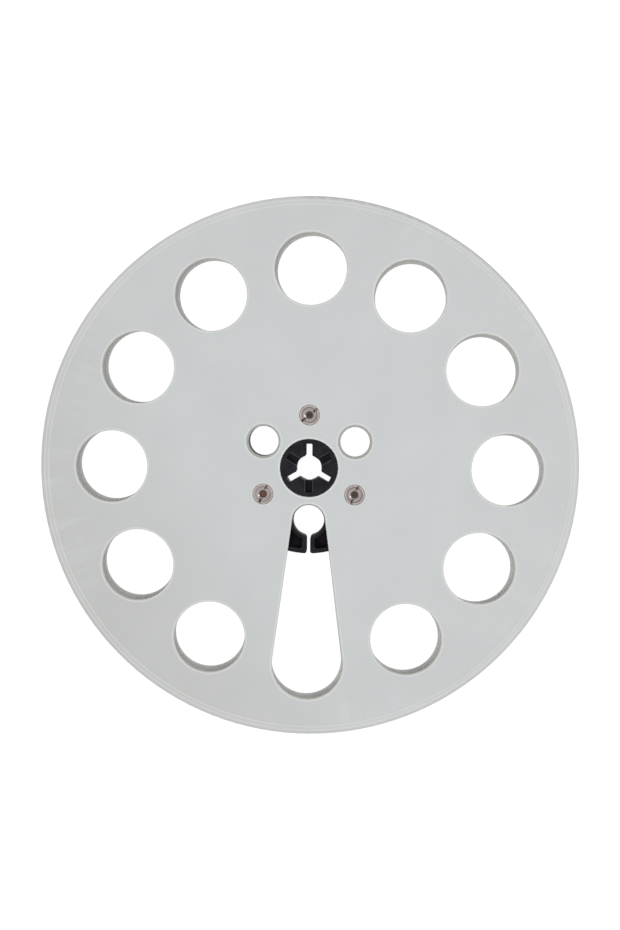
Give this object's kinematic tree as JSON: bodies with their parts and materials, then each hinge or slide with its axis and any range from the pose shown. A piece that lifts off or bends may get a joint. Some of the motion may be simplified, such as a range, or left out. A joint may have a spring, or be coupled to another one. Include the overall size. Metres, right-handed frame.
{
  "type": "audio tape reel",
  "caption": "Open reel for quarter-inch tape: windowed flanges with a threading slot, clamped by sleeve nuts and screws to a hub with a notched spindle bore.",
  "frame": {"origin": "on the reel's axis, in the plane that the rear rim and the hub's rear face rest on", "axes": "+Z along the axis from the rear flange to the front one, where the sleeve nuts' heads are; -Y along the threading slot, away from the hub; +X to the right, seen from the front"},
  "size_m": [0.178, 0.178, 0.0115],
  "materials": {
    "flange_plastic": "satin",
    "hub_plastic": "satin",
    "nickel": "satin",
    "screw_steel": "satin"
  },
  "bodies": {
    "reel": {"rear_flange": "flange_plastic", "hub_core": "hub_plastic", "front_flange": "flange_plastic"},
    "top_nut": {"sleeve_nut_top": "nickel"},
    "top_screw": {"screw_top": "screw_steel"},
    "left_nut": {"sleeve_nut_left": "nickel"},
    "left_screw": {"screw_left": "screw_steel"},
    "right_nut": {"sleeve_nut_right": "nickel"},
    "right_screw": {"screw_right": "screw_steel"}
  },
  "joints": [
    {"name": "top_screw_turn", "type": "hinge", "parent": "reel", "child": "top_screw", "pos_m": [0, 0.0175, 0.0012], "axis": [0, 0, -1], "range_deg": [0, 3960]},
    {"name": "top_nut_lift", "type": "slide", "parent": "reel", "child": "top_nut", "axis": [0, 0, 1], "range_m": [0, 0.0055]},
    {"name": "left_screw_turn", "type": "hinge", "parent": "reel", "child": "left_screw", "pos_m": [-0.01516, -0.00875, 0.0012], "axis": [0, 0, -1], "range_deg": [0, 3960]},
    {"name": "left_nut_lift", "type": "slide", "parent": "reel", "child": "left_nut", "axis": [0, 0, 1], "range_m": [0, 0.0055]},
    {"name": "right_screw_turn", "type": "hinge", "parent": "reel", "child": "right_screw", "pos_m": [0.01516, -0.00875, 0.0012], "axis": [0, 0, -1], "range_deg": [0, 3960]},
    {"name": "right_nut_lift", "type": "slide", "parent": "reel", "child": "right_nut", "axis": [0, 0, 1], "range_m": [0, 0.0055]}
  ],
  "couplings": [
    {"joint": "top_screw_turn", "follows": "top_nut_lift", "rad_per_m": 12566},
    {"joint": "left_screw_turn", "follows": "left_nut_lift", "rad_per_m": 12566},
    {"joint": "right_screw_turn", "follows": "right_nut_lift", "rad_per_m": 12566}
  ]
}
